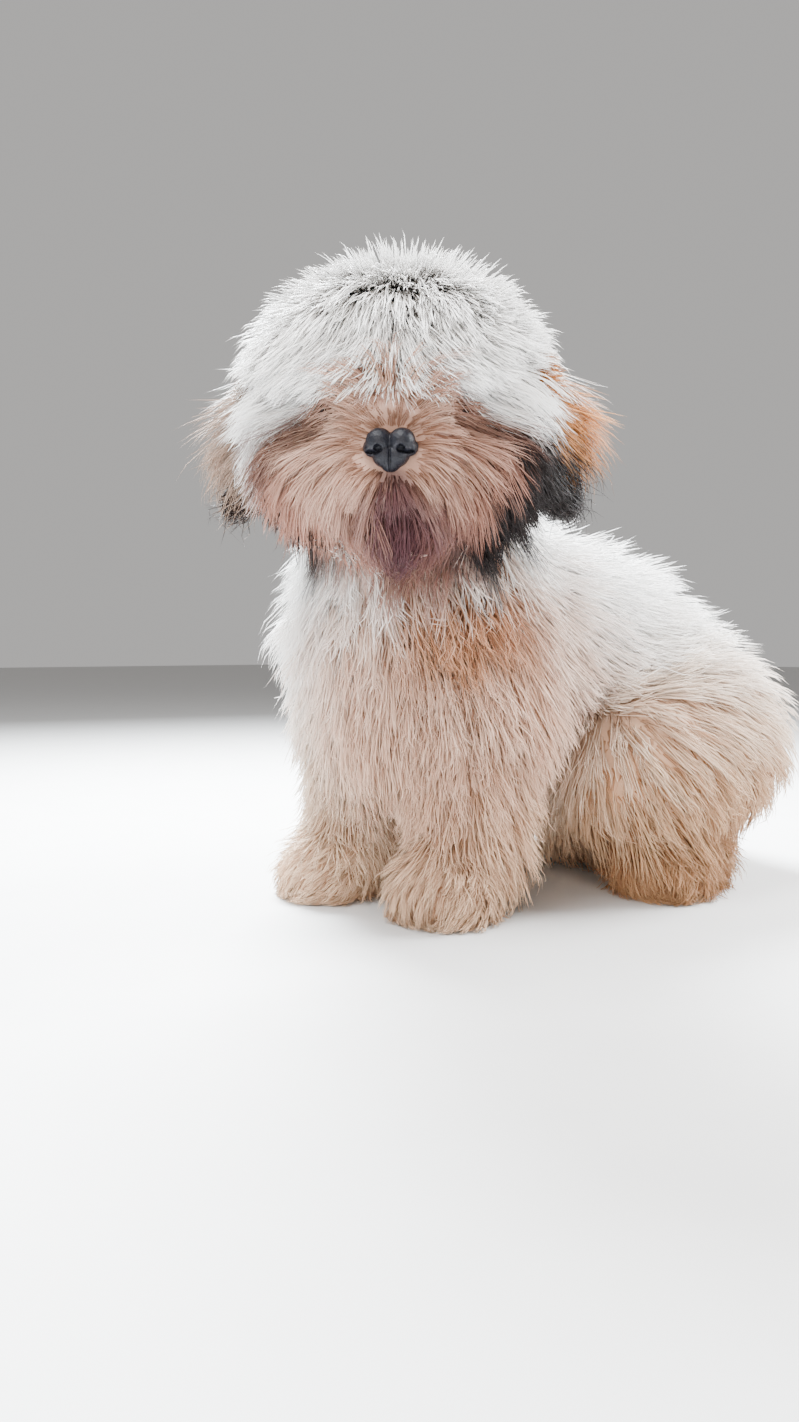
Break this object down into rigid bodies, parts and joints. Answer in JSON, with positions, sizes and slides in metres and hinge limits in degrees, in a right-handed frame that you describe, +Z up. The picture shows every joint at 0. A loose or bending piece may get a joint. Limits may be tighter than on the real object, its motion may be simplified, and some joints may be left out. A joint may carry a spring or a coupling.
{
  "type": "shih tzu puppy",
  "caption": "Seated long-coated small dog, head turned to its left, resting on its paws and rump.",
  "frame": {"origin": "on the floor, under the middle of the dog's bounding box", "axes": "+Z up, the body faces -Y, and the dog's left is +X"},
  "size_m": [0.1914, 0.3106, 0.2519],
  "materials": {
    "coat": "long soft cream-white hair",
    "face_coat": "soft tan-cream hair",
    "leg_coat": "cream hair, tan towards the feet",
    "ear_left_coat": "black and tan hair",
    "ear_right_coat": "grey-brown hair",
    "nose": "moist black, finely pebbled",
    "eye": "dark brown, wet gloss",
    "claw": "dark horn"
  },
  "bodies": {
    "root": {"nose": "nose", "eye_left": "eye", "eye_right": "eye", "head": "face_coat", "ear_left": "ear_left_coat", "ear_right": "ear_right_coat", "neck": "coat", "torso": "coat", "rump": "coat", "foreleg_left": "leg_coat", "foreleg_right": "leg_coat", "forepaw_left": "leg_coat", "forepaw_right": "leg_coat", "haunch_left": "coat", "haunch_right": "coat", "hindfoot_left": "leg_coat", "hindfoot_right": "leg_coat", "tail": "coat"}
  },
  "joints": []
}
